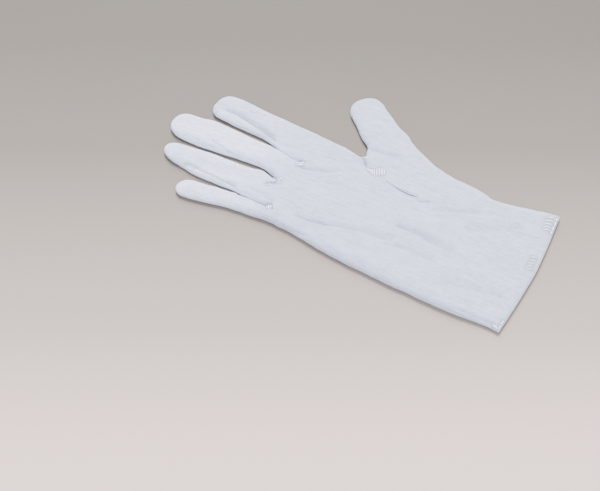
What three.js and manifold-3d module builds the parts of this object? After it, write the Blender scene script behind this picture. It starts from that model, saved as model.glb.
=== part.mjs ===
// A white cotton glove for the right hand, lying palm up on a table.
// It is sewn from a folded hand piece (palm, back and the skins of four fingers), three forks
// (the side walls between neighbouring fingers), a set-in thumb and a turned cuff hem. Each
// piece is a cloth wall of its own, round one open hollow, with a seam gap to its neighbours.
// Millimetres. X runs across the hand towards the thumb, Y from the cuff to the fingertips, Z up.
// The origin is the middle of the glove's footprint, on the table.

import * as THREE from "three";
import { mergeVertices } from "three/addons/utils/BufferGeometryUtils.js";
import Module from "manifold-3d";

const wasm = await Module();
wasm.setup();

// Driving dimensions.
const WALL = 1.1; // thickness of the cloth wall
const SEAM_GAP = 0.32; // clearance between two sewn pieces
const PALM_LENGTH = 152; // cuff line to the line of the finger forks
const PALM_WIDTH = 94; // widest place of the flat hand
const PALM_HEIGHT = 7.4; // loft of the hand as it lies
const CUFF_HEIGHT = 8; // loft of the mouth
const CUFF_BOW = 4; // how far the middle of the cuff line hangs past its corners
const CUFF_BOW_REACH = 60; // the bow has faded this far up the hand
const HEM_WIDTH = 7.6; // turned hem, along the hand
const HEM_STEP = 0.35; // how much thicker the doubled hem is, outside and inside
const FORK_SLIT = 1.3; // open slit between two fingers from their fork on
const FORK_FLOOR = 1.7; // height of a fork's lower seam above the table
const FORK_ROOF = 1.9; // depth of its upper seam below the crown of the finger
const FORK_DEPTH = 3.2; // how far round its side a fork is let into a finger
const FORK_END = 0.86; // a fork stops at this share of its fingers' length
const FINGER_OVERLAP = 14; // how far the finger tubes run back into the palm
const SHOULDER = 9; // length over which the palm falls away between the fingers
const THUMB_WIDTH = 30.8; // flat width of the thumb over its root
const THUMB_HEIGHT = 7.2;
const THUMB_TIP = 12; // length of the round of the thumb's tip
const FOLD_WIDTH = 3.2; // half width of a fold's trough, at a share of one in the table
const FOLD_LIMIT = 0.8; // the deepest that folds sink together
const PRESSED = 0.75; // how far the oval is pressed flat on the table
const SOFTNESS = 3; // exponent of the oval sections; two is an ellipse, more is boxier

// Fingers from the little one to the index. root is the middle of the finger on the fork line as
// a share of half the palm's width, lean its tilt in degrees, round the length of its tip's curve
// as a share of its width.
const FINGERS = [
  { name: "little", length: 55, width: 14.2, height: 6.9, root: -0.765, lean: 6.2, round: 0.55 },
  { name: "ring", length: 79.4, width: 20, height: 7.1, root: -0.415, lean: -0.4, round: 0.62 },
  { name: "middle", length: 88.5, width: 22, height: 7.3, root: 0.07, lean: -0.6, round: 0.55 },
  { name: "index", length: 73, width: 22.8, height: 7.4, root: 0.49, lean: -6, round: 0.34 },
];

// Sections of the fingers: at is the share of the length from the fork line, little_side and
// thumb_side are the distances of the two edges from the axis as shares of the width.
const FINGER_SECTIONS = {
  little: [
    { at: 0, little_side: 0.37, thumb_side: 0.33 },
    { at: 0.34, little_side: 0.35, thumb_side: 0.49 },
    { at: 0.5, little_side: 0.38, thumb_side: 0.47 },
    { at: 0.67, little_side: 0.48, thumb_side: 0.46 },
    { at: 0.88, little_side: 0.48, thumb_side: 0.44 },
    { at: 1, little_side: 0.44, thumb_side: 0.42 },
  ],
  ring: [
    { at: 0, little_side: 0.58, thumb_side: 0.34 },
    { at: 0.09, little_side: 0.56, thumb_side: 0.45 },
    { at: 0.2, little_side: 0.53, thumb_side: 0.6 },
    { at: 0.3, little_side: 0.52, thumb_side: 0.55 },
    { at: 0.47, little_side: 0.53, thumb_side: 0.49 },
    { at: 0.66, little_side: 0.52, thumb_side: 0.42 },
    { at: 0.8, little_side: 0.43, thumb_side: 0.37 },
    { at: 1, little_side: 0.33, thumb_side: 0.35 },
  ],
  middle: [
    { at: 0, little_side: 0.62, thumb_side: 0.28 },
    { at: 0.08, little_side: 0.53, thumb_side: 0.33 },
    { at: 0.18, little_side: 0.41, thumb_side: 0.405 },
    { at: 0.27, little_side: 0.43, thumb_side: 0.455 },
    { at: 0.42, little_side: 0.455, thumb_side: 0.475 },
    { at: 0.58, little_side: 0.47, thumb_side: 0.475 },
    { at: 0.72, little_side: 0.545, thumb_side: 0.5 },
    { at: 0.84, little_side: 0.54, thumb_side: 0.42 },
    { at: 1, little_side: 0.44, thumb_side: 0.42 },
  ],
  index: [
    { at: 0, little_side: 0.625, thumb_side: 0.55 },
    { at: 0.17, little_side: 0.535, thumb_side: 0.53 },
    { at: 0.37, little_side: 0.44, thumb_side: 0.51 },
    { at: 0.57, little_side: 0.43, thumb_side: 0.5 },
    { at: 0.77, little_side: 0.43, thumb_side: 0.5 },
    { at: 1, little_side: 0.46, thumb_side: 0.42 },
  ],
};

// Where the three forks sit: the distance beyond the fork line as a share of the palm's length.
const FORK_PLACES = [
  { name: "fork_ring_little", beyond: -0.011 },
  { name: "fork_middle_ring", beyond: 0.0375 },
  { name: "fork_index_middle", beyond: -0.011 },
];

// Sections of the hand: at is the share of the palm's length from the cuff line, little_side and
// thumb_side are the two edges as shares of half the palm's width.
const PALM_SECTIONS = [
  { at: 0, little_side: -1.035, thumb_side: 0.955 },
  { at: 0.055, little_side: -1.03, thumb_side: 0.93 },
  { at: 0.1, little_side: -1.035, thumb_side: 0.885 },
  { at: 0.17, little_side: -1.045, thumb_side: 0.835 },
  { at: 0.26, little_side: -1.045, thumb_side: 0.8 },
  { at: 0.39, little_side: -1.03, thumb_side: 0.755 },
  { at: 0.59, little_side: -1.0, thumb_side: 0.67 },
  { at: 0.72, little_side: -0.96, thumb_side: 0.63 },
  { at: 0.79, little_side: -0.92, thumb_side: 0.65 },
  { at: 0.86, little_side: -0.885, thumb_side: 0.71 },
  { at: 1, little_side: -0.87, thumb_side: 0.75 },
];

// Sections of the thumb: out and up are the middle as shares of half the palm's width and of its
// length, wide is a share of the thumb's width, turn the heading in degrees away from Y.
const THUMB_SECTIONS = [
  { out: 0.685, up: 0.262, wide: 0.4, turn: 0 },
  { out: 0.635, up: 0.334, wide: 0.735, turn: 0 },
  { out: 0.605, up: 0.45, wide: 0.94, turn: 9 },
  { out: 0.69, up: 0.578, wide: 1.08, turn: 24 },
  { out: 0.945, up: 0.713, wide: 1.06, turn: 37 },
  { out: 1.065, up: 0.74, wide: 0.96, turn: 38 },
  { out: 1.235, up: 0.803, wide: 0.82, turn: 38 },
  { out: 1.45, up: 0.88, wide: 0.76, turn: 37 },
  { out: 1.655, up: 0.955, wide: 0.74, turn: 37 },
];

// The thumb's seam from the wrist round the ball of the thumb to its crotch, then out into the
// open between thumb and index. palm_out is its place on the palm side, back_out on the back.
const THUMB_SEAM = [
  { up: 0.256, palm_out: 1.2, back_out: 1.2 },
  { up: 0.262, palm_out: 0.95, back_out: 0.95 },
  { up: 0.268, palm_out: 0.78, back_out: 0.81 },
  { up: 0.292, palm_out: 0.63, back_out: 0.76 },
  { up: 0.327, palm_out: 0.49, back_out: 0.73 },
  { up: 0.367, palm_out: 0.4, back_out: 0.7 },
  { up: 0.412, palm_out: 0.34, back_out: 0.67 },
  { up: 0.462, palm_out: 0.3, back_out: 0.645 },
  { up: 0.52, palm_out: 0.31, back_out: 0.625 },
  { up: 0.58, palm_out: 0.33, back_out: 0.61 },
  { up: 0.64, palm_out: 0.375, back_out: 0.6 },
  { up: 0.7, palm_out: 0.43, back_out: 0.605 },
  { up: 0.742, palm_out: 0.49, back_out: 0.62 },
  { up: 0.768, palm_out: 0.575, back_out: 0.635 },
  { up: 0.786, palm_out: 0.655, back_out: 0.665 },
  { up: 0.817, palm_out: 0.755, back_out: 0.755 },
  { up: 0.915, palm_out: 1.0, back_out: 1.0 },
  { up: 1.1, palm_out: 1.46, back_out: 1.46 },
];

// Folds of the upper side: two ends as shares of half the palm's width and of its length, the
// depth in millimetres and the width as a share of FOLD_WIDTH. A minus depth is a raised ridge.
const FOLDS = [
  { out: 0.5, up: 1.38, to_out: 0.4, to_up: 1.18, depth: 0.8, wide: 0.8 },
  { out: 0.4, up: 1.18, to_out: 0.22, to_up: 0.98, depth: 0.8, wide: 0.8 },
  { out: 0.07, up: 0.955, to_out: 0.2, to_up: 0.845, depth: 0.7, wide: 1 },
  { out: -0.7, up: 0.87, to_out: -0.65, to_up: 0.75, depth: 0.5, wide: 1.1 },
  { out: -0.65, up: 0.75, to_out: -0.48, to_up: 0.52, depth: 0.5, wide: 1.6 },
  { out: -0.27, up: 0.5, to_out: -0.2, to_up: 0.3, depth: 0.7, wide: 2 },
  { out: -0.57, up: 0.48, to_out: -0.48, to_up: 0.3, depth: 0.5, wide: 1.8 },
  { out: 0.3, up: 0.6, to_out: 0.28, to_up: 0.48, depth: 0.8, wide: 1 },
  { out: 0.75, up: 0.8, to_out: 0.86, to_up: 0.7, depth: 0.6, wide: 1.3 },
  { out: 0.52, up: 0.7, to_out: 0.52, to_up: 0.48, depth: -0.4, wide: 2.4 },
  { out: 0.15, up: 0.26, to_out: 0.45, to_up: 0.1, depth: 0.5, wide: 2.4 },
  { out: -0.72, up: 0.22, to_out: -0.6, to_up: 0.05, depth: 0.4, wide: 2.2 },
];

const HALF = PALM_WIDTH / 2;
const DEGREE = Math.PI / 180;

// A smooth value from a table at one place, by cubic steps between its rows.
function smooth(rows, placeKey, key, place) {
  const last = rows.length - 1;
  if (place <= rows[0][placeKey]) return rows[0][key];
  if (place >= rows[last][placeKey]) return rows[last][key];
  let i = 0;
  while (place > rows[i + 1][placeKey]) i += 1;
  const slope = (j) => {
    const a = rows[Math.max(0, j - 1)];
    const b = rows[Math.min(last, j + 1)];
    return (b[key] - a[key]) / (b[placeKey] - a[placeKey]);
  };
  const span = rows[i + 1][placeKey] - rows[i][placeKey];
  const t = (place - rows[i][placeKey]) / span;
  const t2 = t * t;
  const t3 = t2 * t;
  return (
    rows[i][key] * (2 * t3 - 3 * t2 + 1) +
    slope(i) * span * (t3 - 2 * t2 + t) +
    rows[i + 1][key] * (3 * t2 - 2 * t3) +
    slope(i + 1) * span * (t3 - t2)
  );
}

function step(low, high, value) {
  const t = Math.min(1, Math.max(0, (value - low) / (high - low)));
  return t * t * (3 - 2 * t);
}

// How far the upper side sinks under the folds at one place.
function foldDepth(x, y) {
  let sum = 0;
  for (const fold of FOLDS) {
    const ax = fold.out * HALF;
    const ay = fold.up * PALM_LENGTH;
    const dx = fold.to_out * HALF - ax;
    const dy = fold.to_up * PALM_LENGTH - ay;
    const along = ((x - ax) * dx + (y - ay) * dy) / (dx * dx + dy * dy);
    const held = Math.min(1, Math.max(0, along));
    const away = Math.hypot(x - ax - held * dx, y - ay - held * dy) / (FOLD_WIDTH * fold.wide);
    sum += fold.depth * Math.exp(-away * away);
  }
  return Math.min(sum, FOLD_LIMIT);
}

// The last move of every point: the folds sink the upper side, the cuff bows.
function settle(x, y, z) {
  const upper = step(WALL * 1.2, PALM_HEIGHT - WALL * 1.6, z);
  const across = Math.min(1, Math.abs(x) / (HALF * 1.12));
  const fade = 1 - step(0, CUFF_BOW_REACH, y);
  return [x, y - CUFF_BOW * (1 - across * across) * fade, z - foldDepth(x, y) * upper];
}

// One oval section between two edges. The underside is pressed flat at the given floor.
function oval(left, right, floor, height, across, under) {
  const middle = (left + right) / 2;
  const half = (right - left) / 2;
  const rise = (height - floor) / 2;
  const sunk = PRESSED;
  const points = [];
  const reach = (u) => Math.pow(Math.max(0, 1 - Math.pow(Math.abs(u), SOFTNESS)), 1 / SOFTNESS);
  for (let i = 0; i <= across; i += 1) {
    const u = -Math.sin((Math.PI / 2) * ((2 * i) / across - 1));
    points.push([middle + half * u, floor + rise + rise * reach(u)]);
  }
  for (let i = 1; i < under; i += 1) {
    const u = Math.sin((Math.PI / 2) * ((2 * i) / under - 1));
    const low = floor + rise - (rise + sunk) * reach(u);
    points.push([middle + half * u, Math.max(floor, low)]);
  }
  return points;
}

// A closed body through a list of sections, each a ring of points with the same count. With a
// ladder, the ends are closed by rungs from the upper side straight down to the underside.
function loft(rings, ladder) {
  const count = rings[0].length;
  const vertices = rings.flat();
  const faces = [];
  for (let r = 0; r + 1 < rings.length; r += 1) {
    for (let i = 0; i < count; i += 1) {
      const a = r * count + i;
      const b = r * count + ((i + 1) % count);
      faces.push([a, b, b + count], [a, b + count, a + count]);
    }
  }
  const caps = [0, rings.length - 1];
  for (const r of caps) {
    const base = r * count;
    if (ladder) {
      const low = (i) => base + ((count - i) % count);
      for (let i = 0; i < count / 2; i += 1) {
        const quad = [base + i, base + i + 1, low(i + 1), low(i)];
        if (r === 0) quad.reverse();
        if (quad[1] !== quad[2]) faces.push([quad[0], quad[1], quad[2]]);
        if (quad[2] !== quad[3] && quad[3] !== quad[0]) faces.push([quad[0], quad[2], quad[3]]);
      }
      continue;
    }
    const centre = [0, 0, 0];
    for (let i = 0; i < count; i += 1) {
      for (let k = 0; k < 3; k += 1) centre[k] += vertices[base + i][k] / count;
    }
    vertices.push(centre);
    const hub = vertices.length - 1;
    for (let i = 0; i < count; i += 1) {
      const a = base + i;
      const b = base + ((i + 1) % count);
      faces.push(r === 0 ? [b, a, hub] : [a, b, hub]);
    }
  }
  return body(vertices, faces);
}

function body(vertices, faces) {
  const geometry = new THREE.BufferGeometry();
  geometry.setAttribute("position", new THREE.Float32BufferAttribute(vertices.flat(), 3));
  geometry.setIndex(faces.flat());
  const merged = mergeVertices(geometry, 1e-5);
  const build = (index) => {
    const mesh = new wasm.Mesh({
      numProp: 3,
      vertProperties: new Float32Array(merged.attributes.position.array),
      triVerts: new Uint32Array(index),
    });
    return new wasm.Manifold(mesh);
  };
  const index = Array.from(merged.index.array);
  const solid = build(index);
  if (solid.volume() > 0) return solid;
  const turned = [];
  for (let i = 0; i < index.length; i += 3) turned.push(index[i], index[i + 2], index[i + 1]);
  return build(turned);
}

// An upright prism over a closed outline.
function prism(outline, low, high) {
  const shape = new THREE.Shape(outline.map((p) => new THREE.Vector2(p[0], p[1])));
  const raw = new THREE.ExtrudeGeometry(shape, { depth: high - low, bevelEnabled: false });
  raw.translate(0, 0, low);
  raw.deleteAttribute("normal");
  raw.deleteAttribute("uv");
  const merged = mergeVertices(raw, 1e-5);
  const points = [];
  for (let i = 0; i < merged.attributes.position.count; i += 1) {
    const p = merged.attributes.position;
    points.push([p.getX(i), p.getY(i), p.getZ(i)]);
  }
  const faces = [];
  const index = merged.index.array;
  for (let i = 0; i < index.length; i += 3) faces.push([index[i], index[i + 1], index[i + 2]]);
  return body(points, faces);
}

// The places of a finger's two edges at one height up the glove.
function fingerEdges(finger, y) {
  const at = (y - PALM_LENGTH) / finger.length;
  const rows = FINGER_SECTIONS[finger.name];
  const axis = finger.root * HALF - Math.tan(finger.lean * DEGREE) * (y - PALM_LENGTH);
  return [
    axis - smooth(rows, "at", "little_side", at) * finger.width,
    axis + smooth(rows, "at", "thumb_side", at) * finger.width,
  ];
}

// The same edges, held apart from the neighbours by the slit beyond each fork.
function heldEdges(number, y) {
  const edges = fingerEdges(FINGERS[number], y);
  for (const side of [0, 1]) {
    const neighbour = FINGERS[number + (side === 0 ? -1 : 1)];
    if (!neighbour) {
      const tucked = 1.4 * (1 - step(PALM_LENGTH - FINGER_OVERLAP, PALM_LENGTH - 3, y));
      edges[side] += side === 0 ? tucked : -tucked;
      continue;
    }
    const fork = FORK_PLACES[number + (side === 0 ? -1 : 0)];
    const start = PALM_LENGTH * (1 + fork.beyond);
    const theirs = fingerEdges(neighbour, y)[1 - side];
    const gap = side === 0 ? edges[0] - theirs : theirs - edges[1];
    const wanted = FORK_SLIT * step(start - 2.5, start, y) - 1.2 * (1 - step(start - 2.5, start, y));
    const short = Math.max(0, wanted - gap) / 2;
    const spare = y < start ? Math.max(0, gap - wanted) / 2 : 0;
    edges[side] += (side === 0 ? 1 : -1) * (short - spare);
  }
  return edges;
}

// The heights up the glove at which a finger has sections: even steps, closer round its fork
// and round the curve of its tip.
function fingerStations(number) {
  const finger = FINGERS[number];
  const tip = PALM_LENGTH + finger.length;
  const round = finger.round * finger.width;
  const places = [PALM_LENGTH - FINGER_OVERLAP];
  const forks = FORK_PLACES.filter((_, i) => i === number || i === number - 1);
  const starts = forks.map((f) => PALM_LENGTH * (1 + f.beyond));
  const first = Math.min(...starts) - 4;
  places.push(PALM_LENGTH - FINGER_OVERLAP / 2);
  for (const s of starts) places.push(s - 2.6, s - 1.3, s);
  const bodyStart = Math.max(...starts);
  const steps = Math.round((tip - round - bodyStart) / 12.5);
  for (let i = 1; i <= steps; i += 1) {
    places.push(bodyStart + ((tip - round - bodyStart) * i) / steps);
  }
  for (const share of [0.4, 0.7, 0.88, 0.975]) places.push(tip - round + round * share);
  places.push(first);
  places.sort((a, b) => a - b);
  return places.filter((p, i) => i === 0 || p - places[i - 1] > 0.8);
}

// A finger's body: the outside for inset zero, the hollow for an inset of one wall.
function fingerBody(number, inset) {
  const finger = FINGERS[number];
  const tip = PALM_LENGTH + finger.length;
  const round = finger.round * finger.width;
  const rings = [];
  for (const y of fingerStations(number)) {
    const edges = heldEdges(number, Math.min(y, tip - 0.5));
    const e = Math.max(0, (y - (tip - round)) / round);
    const narrow = Math.pow(1 - Math.pow(e, 2.3), 1 / 2.3);
    const low = 0.45 + 0.55 * narrow;
    const middle = (edges[0] + edges[1]) / 2;
    const half = Math.max(0.6, ((edges[1] - edges[0]) / 2) * narrow - inset);
    const rise = step(PALM_LENGTH - FINGER_OVERLAP, PALM_LENGTH - FINGER_OVERLAP * 0.45, y);
    const height = finger.height * low * (0.82 + 0.18 * rise) - inset;
    const shiftedY = inset > 0 ? PALM_LENGTH + (y - PALM_LENGTH) * (1 - inset / finger.length) : y;
    const across = 10;
    const ring = oval(middle - half, middle + half, inset, height, across, 6);
    rings.push(ring.map((p) => settle(p[0], shiftedY, p[1])));
  }
  return loft(rings);
}

function palmEdges(y) {
  const at = y / PALM_LENGTH;
  return [
    smooth(PALM_SECTIONS, "at", "little_side", at) * HALF,
    smooth(PALM_SECTIONS, "at", "thumb_side", at) * HALF,
  ];
}

// The flat hand between two heights up the glove, its walls set in by the inset.
function palmBody(from, to, inset, steps, extra) {
  const rings = [];
  const main = Math.min(to, PALM_LENGTH - SHOULDER);
  const places = [];
  for (let i = 0; i <= steps; i += 1) places.push(from + ((main - from) * i) / steps);
  if (main < to) places.push(main + (to - main) * 0.4, main + (to - main) * 0.75, to);
  for (const y of places) {
    const edges = palmEdges(Math.max(0, y));
    const mouth = 1 - step(0, PALM_LENGTH * 0.3, y);
    const loft = PALM_HEIGHT + (CUFF_HEIGHT - PALM_HEIGHT) * mouth + extra;
    const fall = step(PALM_LENGTH - SHOULDER, PALM_LENGTH, y);
    const height = loft * (1 - 0.42 * fall);
    const left = edges[0] + inset - extra + 1.6 * fall;
    const right = edges[1] - inset + extra - 1.6 * fall;
    const across = inset > 0 ? 12 : 16;
    const ring = oval(left, right, inset, height - inset, across, across);
    rings.push(ring.map((p) => settle(p[0], y, p[1])));
  }
  return loft(rings, true);
}

// The thumb along its bent middle line.
function thumbBody(inset) {
  const last = THUMB_SECTIONS.length - 1;
  const rings = [];
  const places = [];
  for (let i = 0; i < last; i += 1) places.push(i, i + 0.5);
  const tail = THUMB_SECTIONS[last];
  const before = THUMB_SECTIONS[last - 1];
  const endSpan = Math.hypot((tail.out - before.out) * HALF, (tail.up - before.up) * PALM_LENGTH);
  const roundStart = last - THUMB_TIP / endSpan;
  const kept = places.filter((p) => p < roundStart - 0.1);
  for (const share of [0, 0.4, 0.7, 0.88, 0.975]) kept.push(roundStart + (last - roundStart) * share);
  const rows = THUMB_SECTIONS.map((row, i) => ({ ...row, i }));
  for (const p of kept) {
    const e = Math.max(0, (p - roundStart) / (last - roundStart));
    const narrow = Math.pow(1 - Math.pow(e, 2.3), 1 / 2.3);
    const turn = smooth(rows, "i", "turn", p) * DEGREE;
    const pull = inset * (p / last);
    const cx = smooth(rows, "i", "out", p) * HALF - Math.sin(turn) * pull;
    const cy = smooth(rows, "i", "up", p) * PALM_LENGTH - Math.cos(turn) * pull;
    const full = (smooth(rows, "i", "wide", p) * THUMB_WIDTH) / 2;
    const half = Math.max(0.6, full * narrow - inset);
    const grow = 0.82 + 0.18 * step(0, 2, p);
    const height = THUMB_HEIGHT * (0.45 + 0.55 * narrow) * grow - inset;
    const ring = oval(-half, half, inset, height, 10, 6);
    rings.push(ring.map((q) => {
      return settle(cx + Math.cos(turn) * q[0], cy - Math.sin(turn) * q[0], q[1]);
    }));
  }
  return loft(rings);
}

// The part of space that belongs to the thumb piece, set in or out by a little.
function thumbSpace(grow) {
  const outline = (key) => {
    const line = THUMB_SEAM.map((row) => [row[key] * HALF, row.up * PALM_LENGTH]);
    const moved = line.map((p, i) => {
      const a = line[Math.max(0, i - 1)];
      const b = line[Math.min(line.length - 1, i + 1)];
      const length = Math.hypot(b[0] - a[0], b[1] - a[1]);
      return [p[0] - ((b[1] - a[1]) / length) * grow, p[1] + ((b[0] - a[0]) / length) * grow];
    });
    const bottom = moved[0];
    const top = moved[moved.length - 1];
    const far = HALF * 2.6;
    return [...moved, [far, top[1]], [far, bottom[1]]];
  };
  const cut = PALM_HEIGHT * 0.5;
  const upper = prism(outline("palm_out"), cut, 60);
  const lower = prism(outline("back_out"), -20, cut + 0.01);
  return upper.add(lower);
}

// The part of space that belongs to one fork: a band round the fork and up the two facing sides.
function forkSpace(number, grow) {
  const start = PALM_LENGTH * (1 + FORK_PLACES[number].beyond);
  const pieces = [];
  for (const side of [0, 1]) {
    const finger = FINGERS[number + side];
    const end = PALM_LENGTH + finger.length * FORK_END + grow;
    const sign = side === 0 ? 1 : -1;
    const rings = [];
    const steps = 10;
    for (let i = 0; i <= steps; i += 1) {
      const y = start - 0.5 + ((end - start + 0.5) * i) / steps;
      const edge = heldEdges(number + side, y)[1 - side];
      const inner = edge - sign * (FORK_DEPTH + grow);
      const outer = edge + sign * (FORK_SLIT / 2 - 0.05);
      const taper = 1 - 0.35 * step(0.75, 1, i / steps);
      const middle = finger.height / 2;
      const low = middle - (middle - FORK_FLOOR) * taper - grow;
      const high = middle + (middle - FORK_ROOF) * taper + grow;
      const corners = [[inner, low], [outer, low], [outer, high], [inner, high]];
      rings.push(corners.map((c) => [c[0], y, c[1]]));
    }
    pieces.push(loft(rings));
  }
  const left = heldEdges(number, start)[1];
  const right = heldEdges(number + 1, start)[0];
  const height = (FINGERS[number].height + FINGERS[number + 1].height) / 2;
  const block = [
    [left - FORK_DEPTH - grow, start - FORK_DEPTH - grow],
    [right + FORK_DEPTH + grow, start - FORK_DEPTH - grow],
    [right + FORK_DEPTH + grow, start + 0.2],
    [left - FORK_DEPTH - grow, start + 0.2],
  ];
  pieces.push(prism(block, FORK_FLOOR - grow, height - FORK_ROOF + grow));
  return pieces.reduce((sum, piece) => sum.add(piece));
}

// Only the largest connected body of a solid; sewing leaves no loose chips.
function single(solid) {
  const parts = solid.decompose();
  parts.sort((a, b) => b.volume() - a.volume());
  return parts[0];
}

const palmEnd = PALM_LENGTH - 2.4;
const handStart = HEM_WIDTH + SEAM_GAP;
let outside = palmBody(handStart, palmEnd, 0, 17, 0).add(thumbBody(0));
let hollow = palmBody(-12, palmEnd - WALL, WALL, 10, 0).add(thumbBody(WALL));
for (let i = 0; i < FINGERS.length; i += 1) {
  outside = outside.add(fingerBody(i, 0));
  hollow = hollow.add(fingerBody(i, WALL));
}
const shell = outside.subtract(hollow);

const thumb = single(shell.intersect(thumbSpace(-SEAM_GAP / 2)));
let hand = shell.subtract(thumbSpace(SEAM_GAP / 2));
const forks = [];
for (let i = 0; i < FORK_PLACES.length; i += 1) {
  forks.push(single(shell.intersect(forkSpace(i, 0))));
  hand = hand.subtract(forkSpace(i, SEAM_GAP));
}
hand = single(hand);

const hemOutside = palmBody(0, HEM_WIDTH, 0, 2, HEM_STEP);
const hemHollow = palmBody(-12, HEM_WIDTH + 12, WALL + HEM_STEP, 4, 0);
const hem = hemOutside.subtract(hemHollow);

const group = new THREE.Group();
group.name = "cotton_glove";

function addPiece(name, solid, colour) {
  const mesh = solid.getMesh();
  const geometry = new THREE.BufferGeometry();
  geometry.setAttribute("position", new THREE.Float32BufferAttribute(mesh.vertProperties, 3));
  geometry.setIndex(Array.from(mesh.triVerts));
  geometry.computeVertexNormals();
  const material = new THREE.MeshStandardMaterial({ color: colour, roughness: 0.95 });
  const piece = new THREE.Mesh(geometry, material);
  piece.name = name;
  group.add(piece);
}

addPiece("hand", hand, "#e9ebf0");
addPiece("thumb", thumb, "#e7e9ee");
for (let i = 0; i < forks.length; i += 1) addPiece(FORK_PLACES[i].name, forks[i], "#e3e5eb");
addPiece("cuff_hem", hem, "#e5e7ec");

// The footprint's middle becomes the origin.
const box = new THREE.Box3().setFromObject(group);
const middle = box.getCenter(new THREE.Vector3());
for (const piece of group.children) piece.geometry.translate(-middle.x, -middle.y, -box.min.z);

export default group;
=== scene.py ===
"""A white cotton glove, palm up on a pale table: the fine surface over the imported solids."""
import math
import bpy
import numpy as np
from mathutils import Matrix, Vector, noise
from mathutils.geometry import delaunay_2d_cdt


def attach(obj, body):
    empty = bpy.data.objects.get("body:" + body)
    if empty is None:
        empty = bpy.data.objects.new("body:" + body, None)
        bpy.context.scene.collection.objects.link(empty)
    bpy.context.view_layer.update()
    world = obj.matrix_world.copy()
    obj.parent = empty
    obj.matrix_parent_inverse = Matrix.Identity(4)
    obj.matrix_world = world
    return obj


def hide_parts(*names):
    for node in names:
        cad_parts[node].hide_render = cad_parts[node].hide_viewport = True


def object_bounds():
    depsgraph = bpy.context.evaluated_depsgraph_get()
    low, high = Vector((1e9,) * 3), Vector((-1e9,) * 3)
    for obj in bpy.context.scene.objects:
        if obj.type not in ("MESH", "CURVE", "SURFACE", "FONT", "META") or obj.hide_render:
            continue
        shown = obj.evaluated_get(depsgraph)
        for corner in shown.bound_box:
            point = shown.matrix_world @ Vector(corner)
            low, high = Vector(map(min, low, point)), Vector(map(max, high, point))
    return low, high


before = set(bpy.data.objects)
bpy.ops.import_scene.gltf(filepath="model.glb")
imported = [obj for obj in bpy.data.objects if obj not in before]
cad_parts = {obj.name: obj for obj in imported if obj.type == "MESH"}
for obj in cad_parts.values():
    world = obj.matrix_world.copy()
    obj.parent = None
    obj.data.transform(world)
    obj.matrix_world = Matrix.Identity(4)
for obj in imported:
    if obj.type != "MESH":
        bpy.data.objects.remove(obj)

cad_box = [list(c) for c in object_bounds()]

# Sizes, in millimetres
# The plan has its origin in the middle of the cuff line, with Y to the fingertips.
PALM_LENGTH = 152.0
HALF = 47.0
HEM_WIDTH = 7.6
CUFF_BOW = 4.0
CUFF_BOW_REACH = 60.0
THUMB_WIDTH = 30.8
THUMB_TIP = 12.0
CROWN = 5.4          # height of the palm side over the table
EDGE = 1.7           # height at which the cloth turns round an edge
SEAM_NEAR = 1.5      # where a fork turns round the side of a finger towards the little one
SEAM_FAR = 2.2       # and on its other side
SEAM_LOW = 0.8       # a fork's lower seam
CLOTH = 0.75         # thickness of the cloth
FOLD_GAIN = 1.6      # how many times as deep as its row in FOLDS says each fold is
CUFF_DROP = 2.2      # how much lower the palm side lies at the cuff
ROLL = 6.0           # how far in from an edge the cloth is still rounding over
ROLL_LESS = 1.0      # by how much less it does on the fingers
FORK_DIP = 0.28      # how far the cloth dips just inside a fork's seam
STEP_TOP = 1.0       # distance between the points of the upper side
STEP_UNDER = 2.4     # and of the underside
STEP_LINE = 0.8      # distance between the points of the outline and of the seams
TIP_POWER = 2.3      # how square the fingertips are: 2 is an ellipse
ROOT_LOW = 137.0     # from this Y on the palm's sides pass into the outer fingers' sides
ROOT_HIGH = 153.0    # up to this one
THUMB_CROTCH_UP = 121.2
THUMB_CROTCH_POINT = (31.0, 121.4)
THUMB_HEEL_POINT = (39.8, 40.2)
NOTCH = 2.4          # how far the thumb's inner edge steps back at its root
PLAN_LEFT = -1.045 * HALF   # the palm's leftmost place

# where the frame's origin lies in the plan
OX = PLAN_LEFT - cad_box[0][0] * 1000
OY = -CUFF_BOW - cad_box[0][1] * 1000

# root is a share of half the palm's width, lean is in degrees, and round is how long the rounded
# tip is, as a share of the width
FINGERS = [
    dict(name="little", length=55.0, width=14.2, height=4.4, root=-0.765, lean=6.2, round=0.55),
    dict(name="ring", length=79.4, width=20.0, height=4.6, root=-0.415, lean=-0.4, round=0.62),
    dict(name="middle", length=88.5, width=22.0, height=4.7, root=0.07, lean=-0.6, round=0.55),
    dict(name="index", length=73.0, width=22.8, height=4.7, root=0.49, lean=-6.0, round=0.34),
]
# share of the finger's length, then the two edges as shares of its width
FINGER_ROWS = {
    "little": [(0, 0.37, 0.33), (0.34, 0.35, 0.49), (0.5, 0.38, 0.47), (0.67, 0.48, 0.46),
               (0.88, 0.48, 0.44), (1, 0.44, 0.42)],
    "ring": [(0, 0.58, 0.34), (0.09, 0.56, 0.45), (0.2, 0.53, 0.6), (0.3, 0.52, 0.55),
             (0.47, 0.53, 0.49), (0.66, 0.52, 0.42), (0.8, 0.43, 0.37), (1, 0.33, 0.35)],
    "middle": [(0, 0.62, 0.28), (0.08, 0.53, 0.33), (0.18, 0.41, 0.405), (0.27, 0.43, 0.455),
               (0.42, 0.455, 0.475), (0.58, 0.47, 0.475), (0.72, 0.545, 0.5), (0.84, 0.54, 0.42),
               (1, 0.44, 0.42)],
    "index": [(0, 0.625, 0.55), (0.17, 0.535, 0.53), (0.37, 0.44, 0.51), (0.57, 0.43, 0.5),
              (0.77, 0.43, 0.5), (1, 0.46, 0.42)],
}
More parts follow.
